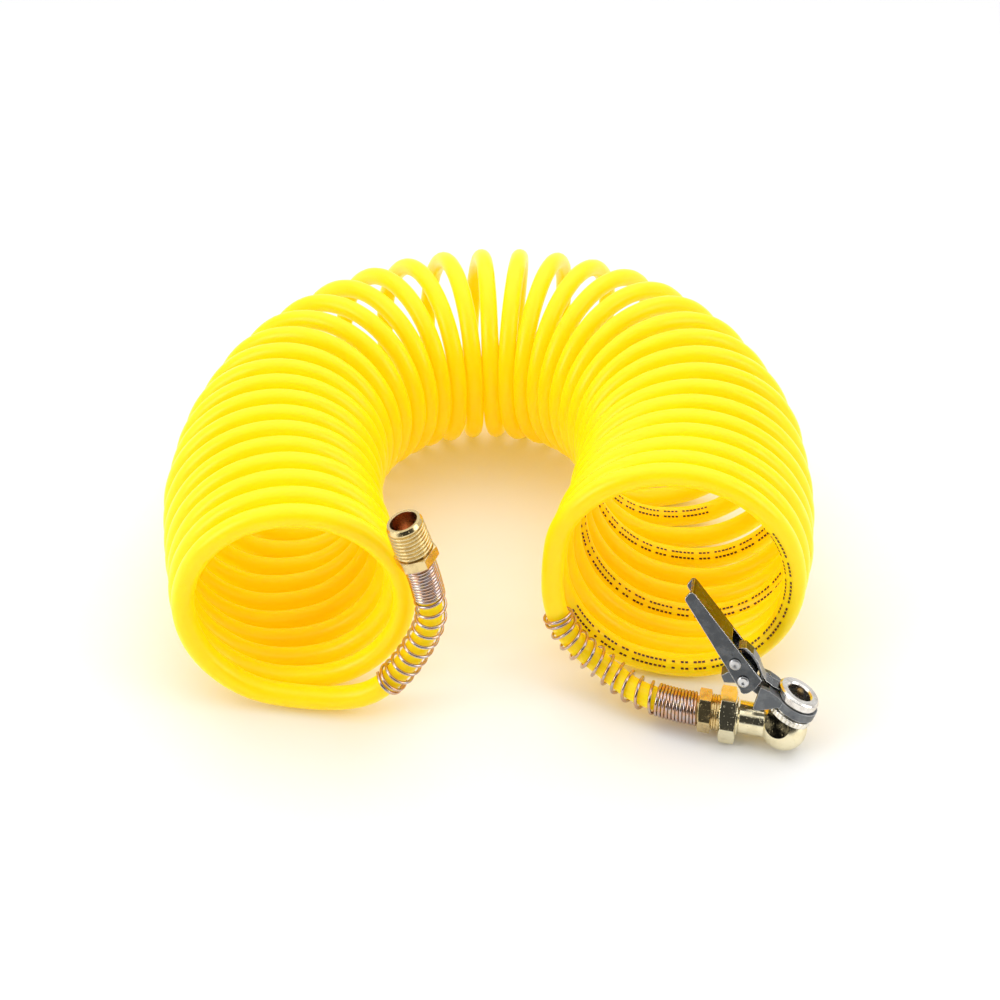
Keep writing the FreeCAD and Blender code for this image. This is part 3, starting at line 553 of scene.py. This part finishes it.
def guard_zinc():
    """Zinc plated wire, with the faint pink and gold of a thin passivated film."""
    f = Finish("guard_zinc", Metallic=1.0)
    film = f.noise(420.0, 2.0)
    grain = f.noise(5000.0, 2.0)
    tint = f.ramp(film, (0.30, (0.55, 0.43, 0.38)), (0.46, (0.62, 0.38, 0.24)), (0.56, (0.50, 0.44, 0.46)),
                  (0.70, (0.66, 0.50, 0.32)))
    f.drive(Base_Color=tint, Roughness=0.14 + grain * 0.10)
    return f


hose_nylon().on(hose)
print_ink().on(marks)
guard_zinc().on(guard_inlet, guard_chuck)
plated("inlet_brass", colour(0.76, 0.60, 0.30), colour(0.45, 0.32, 0.14), 0.16, 0.5,
       bore=(INLET_ROUTE[0], INLET_AXIS, 0.0050, colour(0.52, 0.21, 0.12))).on(NODES["inlet_fitting"])
plated("outlet_brass", colour(0.76, 0.60, 0.30), colour(0.45, 0.32, 0.14), 0.16, 0.5).on(
    NODES["outlet_fitting"])
plated("ferrule_brass", colour(0.78, 0.58, 0.28), colour(0.5, 0.34, 0.15), 0.28, 0.6).on(
    NODES["inlet_ferrule"], NODES["outlet_ferrule"], NODES["valve_plunger"])
# the ball's near flat face is painted near black as a painted dark reflection
plated("pale_gold_plate", colour(0.88, 0.80, 0.55), colour(0.60, 0.50, 0.27), 0.10, 0.3,
       flat=(BALL_MIDDLE, BALL_FLAT_WAY, 0.0073, 0.0050, colour(0.02, 0.018, 0.012))).on(NODES["chuck_body"])
plated("bright_nut", colour(0.86, 0.83, 0.74), colour(0.50, 0.47, 0.40), 0.14, 0.4).on(NODES["knurled_nut"])
plated("nose_chrome", colour(0.84, 0.81, 0.76), colour(0.40, 0.34, 0.28), 0.12, 0.4).on(NODES["nose_ring"])
# bracket, lever and strap: the light colour last in each call is a painted highlight along the edges
plated("bracket_casting", colour(0.13, 0.14, 0.15), colour(0.24, 0.25, 0.26), 0.34, 0.7, 0.00008,
       colour(0.55, 0.56, 0.57)).on(NODES["clip_bracket"])
# the lever's near-black base colour is a painted dark reflection on its faces
plated("lever_steel", colour(0.075, 0.08, 0.085), colour(0.16, 0.165, 0.17), 0.16, 0.6, 0.00003,
       colour(0.92, 0.92, 0.92)).on(NODES["thumb_lever"])
plated("strap_steel", colour(0.16, 0.165, 0.17), colour(0.30, 0.30, 0.31), 0.16, 0.5, 0.00002,
       colour(0.95, 0.94, 0.90)).on(NODES["jaw_strap"])
plated("rivet_steel", colour(0.66, 0.66, 0.66), colour(0.32, 0.32, 0.32), 0.24, 0.5).on(
    NODES["pivot_rivet"], NODES["link_rivet"])
plated("spring_steel", colour(0.60, 0.60, 0.60), colour(0.35, 0.35, 0.35), 0.26, 0.4).on(
    NODES["lever_spring"], NODES["plunger_spring"])
black_rubber().on(NODES["valve_gasket"], NODES["plunger_seal"])


# ---------------------------------------------------------------- floor and light

def make_floor():
    bpy.ops.mesh.primitive_plane_add(size=12.0, location=(0.0, 1.0, 0.0))
    floor = bpy.context.object
    floor.name = "floor"
    paper = Finish("white_paper", Roughness=0.6, Specular_IOR_Level=0.2)
    fibre = paper.noise(40.0, 2.0)
    paper.drive(Base_Color=paper.mix(fibre, colour(0.93, 0.93, 0.93), colour(0.95, 0.95, 0.95)))
    paper.on(floor)


def soft_box(name, place, aim, size, power):
    light = bpy.data.lights.new(name, "AREA")
    light.shape = "RECTANGLE"
    light.size, light.size_y = size
    light.energy = power
    box = bpy.data.objects.new(name, light)
    box.location = place
    box.rotation_euler = (Vector(aim) - Vector(place)).to_track_quat("-Z", "Y").to_euler()
    bpy.context.scene.collection.objects.link(box)


def make_light():
    world = bpy.data.worlds.new("studio")
    world.use_nodes = True
    nodes = world.node_tree.nodes
    links = world.node_tree.links
    ways = nodes.new("ShaderNodeTexCoord")
    split = nodes.new("ShaderNodeSeparateXYZ")
    dusk = nodes.new("ShaderNodeValToRGB")
    for stop, (at, shade) in zip(dusk.color_ramp.elements, ((0.30, 0.06), (0.62, 1.0))):
        stop.position = at
        stop.color = (shade, shade, shade, 1.0)
    lift = nodes.new("ShaderNodeMath")
    lift.operation = "MULTIPLY_ADD"
    lift.inputs[1].default_value = 0.5
    lift.inputs[2].default_value = 0.5
    links.new(ways.outputs["Generated"], split.inputs["Vector"])
    links.new(split.outputs["Y"], lift.inputs[0])
    links.new(lift.outputs["Value"], dusk.inputs["Fac"])
    links.new(dusk.outputs["Color"], nodes["Background"].inputs["Color"])
    nodes["Background"].inputs["Strength"].default_value = 0.8
    bpy.context.scene.world = world
    soft_box("ceiling_box", (0.0, 0.3, 2.4), (0.0, 0.1, 0.0), (4.5, 4.5), 67.0)
    soft_box("left_box", (-1.1, -0.6, 0.6), (0.0, 0.0, 0.05), (0.6, 0.8), 7.0)
    soft_box("right_box", (1.1, -0.5, 0.6), (0.0, 0.0, 0.05), (0.6, 0.8), 5.0)


make_floor()
make_light()
bpy.context.scene.view_settings.view_transform = "Standard"
